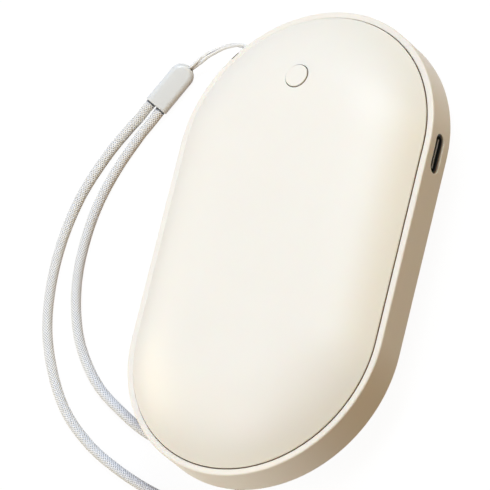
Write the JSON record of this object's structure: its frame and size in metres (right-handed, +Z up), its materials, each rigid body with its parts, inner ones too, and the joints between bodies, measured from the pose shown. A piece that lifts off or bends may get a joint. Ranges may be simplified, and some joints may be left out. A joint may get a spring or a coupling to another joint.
{
  "type": "hand warmer",
  "caption": "Palm-sized rechargeable hand warmer: two domed covers on a flat-sided frame, a push button, a charging port in the side and a braided wrist strap.",
  "frame": {"origin": "centre of the body's box on the surface it lies on, without the strap", "axes": "+Y along the body towards the button, +X to the side with the charging port, +Z up out of the front cover"},
  "size_m": [0.0999, 0.112, 0.0262],
  "materials": {
    "shell": "satin moulded plastic, cream",
    "rim": "satin moulded plastic, slightly darker cream",
    "button": "satin moulded plastic, cream",
    "seal": "soft black rubber",
    "steel": "plain drawn steel",
    "dark_steel": "dark plated steel",
    "black_plastic": "moulded black nylon",
    "tongue_plastic": "moulded black plastic",
    "contacts": "gold plated",
    "board": "green solder mask",
    "component": "black moulded chips",
    "capacitor": "fired ceramic",
    "led": "clear resin over a white chip",
    "tray": "flame retardant dark plastic",
    "cell": "foil pouch",
    "tape": "white double sided tape",
    "ivory_plastic": "ivory nylon",
    "leads": "silicone insulation",
    "white_leads": "silicone insulation",
    "plate": "rolled sheet",
    "film": "amber polyimide film",
    "foam": "closed cell foam",
    "connector": "glossy white plastic",
    "string": "twisted nylon string",
    "cord": "braided white cord with grey flecks"
  },
  "bodies": {
    "case": {"front_cover": "shell", "back_cover": "shell", "mid_frame": "rim", "front_seal": "seal", "back_seal": "seal", "switch_body": "steel", "circuit_board": "board", "socket_shell": "dark_steel", "socket_tongue": "tongue_plastic", "socket_contacts": "contacts", "charge_chip": "component", "power_inductor": "component", "board_capacitors": "capacitor", "status_leds": "led", "board_screws": "steel", "battery_tray": "tray", "tray_screws": "steel", "battery_cell": "cell", "battery_tape": "tape", "cell_board": "board", "battery_socket": "ivory_plastic", "battery_plug": "ivory_plastic", "battery_leads": "leads", "front_plate": "plate", "front_heater": "film", "front_foam": "foam", "front_thermistor": "component", "front_heater_leads": "white_leads", "front_heater_socket": "ivory_plastic", "back_plate": "plate", "back_heater": "film", "back_foam": "foam", "back_thermistor": "component", "back_heater_leads": "white_leads", "lanyard_pin": "steel", "lanyard_string": "string", "strap_connector": "connector", "wrist_cord": "cord"},
    "button": {"button_cap": "button", "switch_plunger": "black_plastic"}
  },
  "joints": [
    {"name": "button_press", "type": "slide", "parent": "case", "child": "button", "axis": [0, 0, -1], "range_m": [0, 0.0003], "stiffness_N_per_m": 5000}
  ]
}
